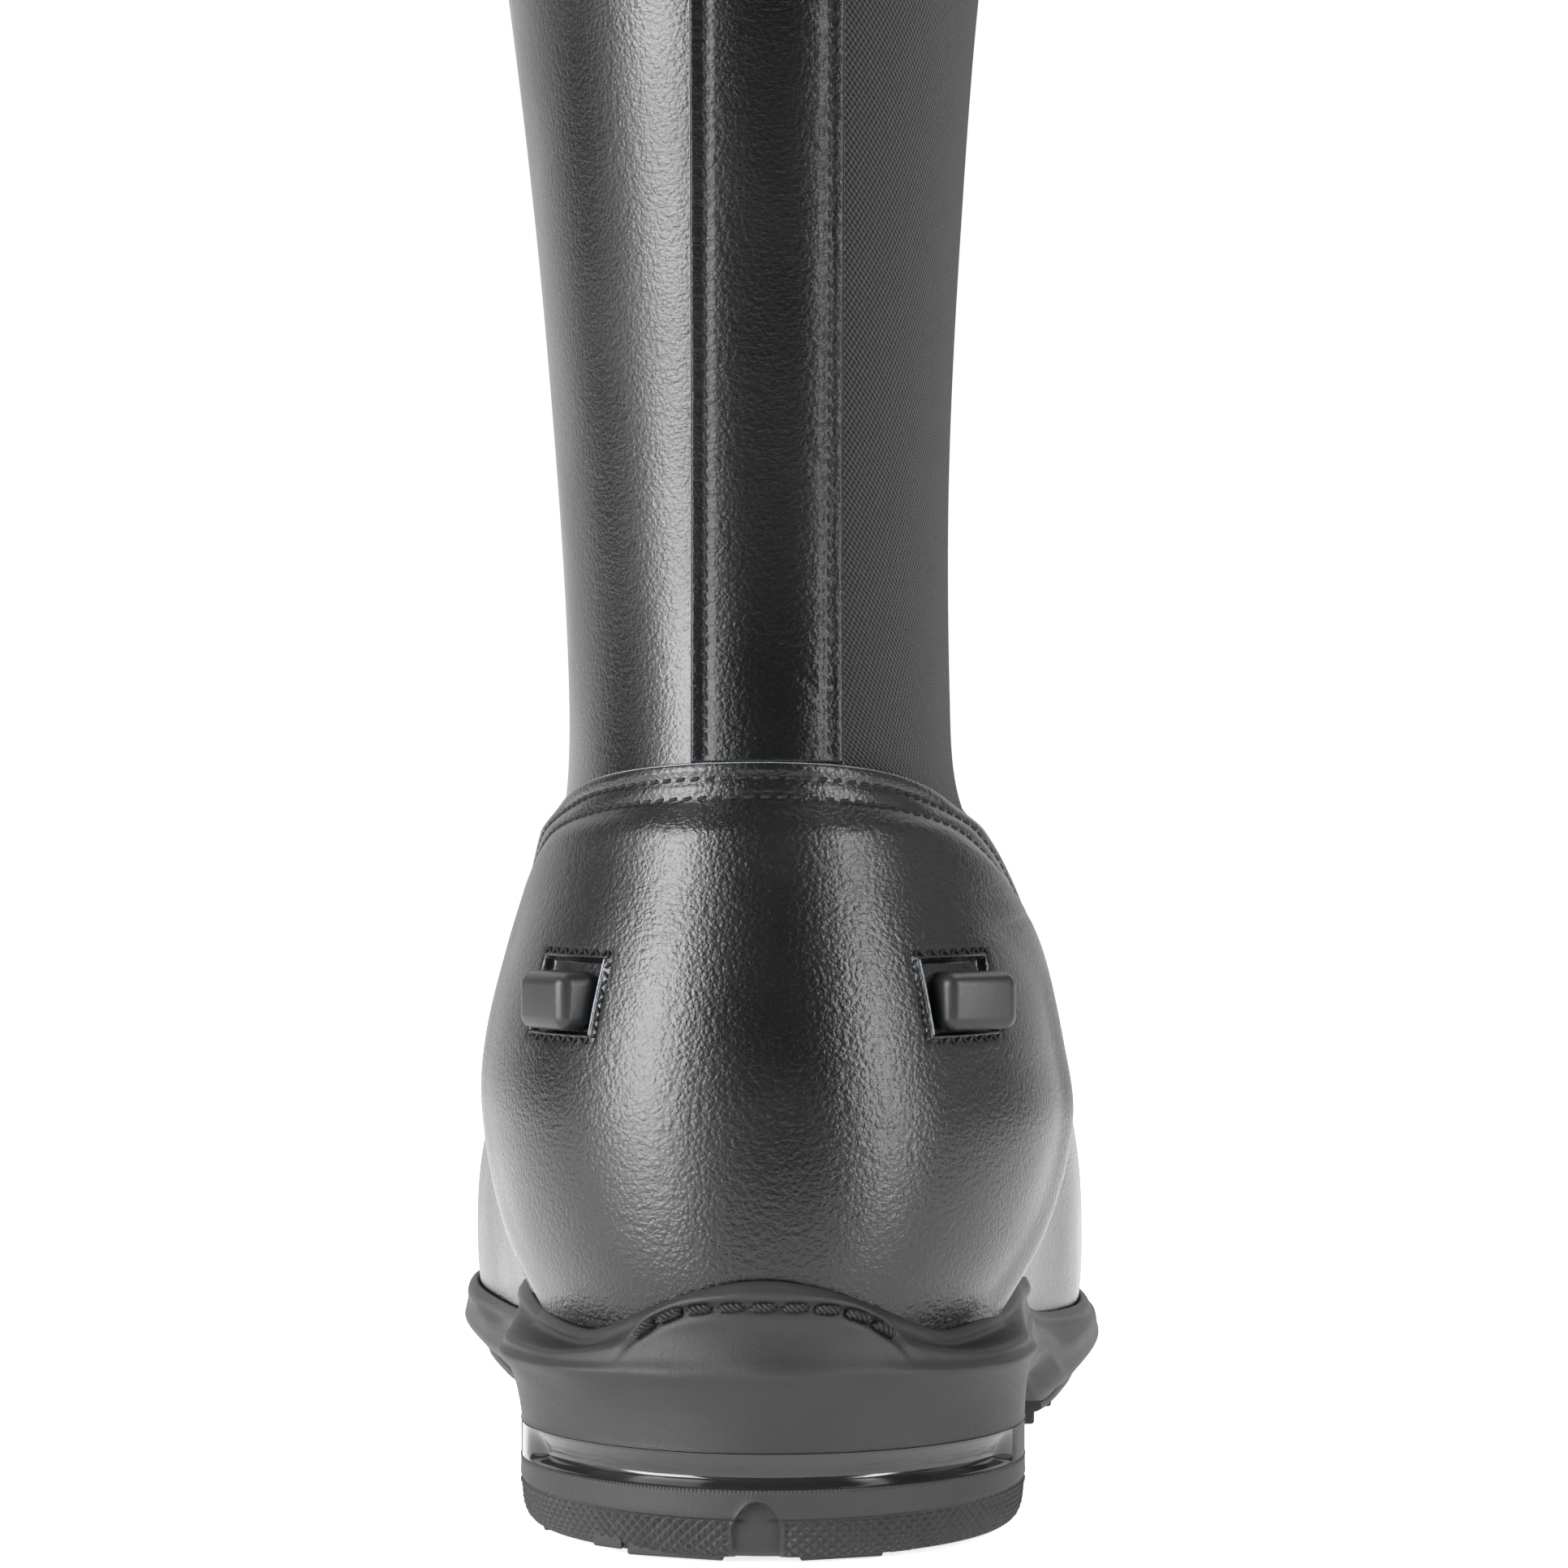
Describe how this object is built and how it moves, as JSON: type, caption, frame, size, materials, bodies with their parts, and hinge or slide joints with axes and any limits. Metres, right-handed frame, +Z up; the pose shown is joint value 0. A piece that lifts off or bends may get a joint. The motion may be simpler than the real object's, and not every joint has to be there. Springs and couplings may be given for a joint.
{
  "type": "tall riding boot",
  "caption": "Right tall leather riding boot with an elastic back panel, inner front zip, spur rests and a moulded rubber sole.",
  "frame": {"origin": "middle of the heel's ground contact, on the floor", "axes": "+Z up along the leg, +Y forward to the toe, +X to the outer side of the right foot"},
  "size_m": [0.1132, 0.3005, 0.4753],
  "materials": {
    "upper_leather": "semi_gloss",
    "lining_leather": "matte",
    "elastic_fabric": "matte",
    "sole_rubber": "matte",
    "moulded_rubber": "satin",
    "cushion_gloss": "gloss",
    "sole_thread": "satin",
    "zip_polyamide": "satin",
    "zip_tape": "matte",
    "zip_metal": "satin",
    "stiffener_board": "matte",
    "footbed_fabric": "matte",
    "shank_steel": "satin"
  },
  "bodies": {
    "boot": {"medial_shaft_panel": "upper_leather", "elastic_panel": "elastic_fabric", "front_shaft_panel": "upper_leather", "back_strip": "upper_leather", "shaft_lining": "lining_leather", "zip_guard": "lining_leather", "top_binding": "upper_leather", "zip_coil_front": "zip_polyamide", "zip_coil_rear": "zip_polyamide", "zip_tape_front": "zip_tape", "zip_tape_rear": "zip_tape", "zip_bottom_stop": "zip_metal", "snap_tab_base": "upper_leather", "snap_stud": "zip_metal", "vamp": "upper_leather", "toe_puff": "stiffener_board", "vamp_lining": "lining_leather", "spur_rest_medial": "moulded_rubber", "spur_rest_lateral": "moulded_rubber", "heel_counter": "upper_leather", "counter_stiffener": "stiffener_board", "heel_lining": "lining_leather", "midsole_cup": "sole_rubber", "heel_cushion": "cushion_gloss", "heel_tread": "sole_rubber", "forefoot_tread": "sole_rubber", "insole_board": "stiffener_board", "footbed": "footbed_fabric", "shank": "shank_steel", "heel_thread": "sole_thread"},
    "slider": {"zip_slider": "zip_metal"},
    "pull": {"zip_pull_tab": "zip_metal"},
    "tab": {"snap_tab": "upper_leather", "snap_cap": "zip_metal"}
  },
  "joints": [
    {"name": "zip_slide", "type": "slide", "parent": "boot", "child": "slider", "axis": [-0.0583, 0.0041, 0.9983], "range_m": [-0.265, 0]},
    {"name": "pull_swing", "type": "hinge", "parent": "slider", "child": "pull", "pos_m": [-0.03964, 0.06948, 0.41985], "axis": [0.5997, 0.7996, 0.0318], "range_deg": [0, 160]},
    {"name": "tab_snap", "type": "hinge", "parent": "boot", "child": "tab", "pos_m": [-0.05134, 0.05179, 0.44433], "axis": [-0.0583, 0.0041, 0.9983], "range_deg": [0, 110]}
  ]
}
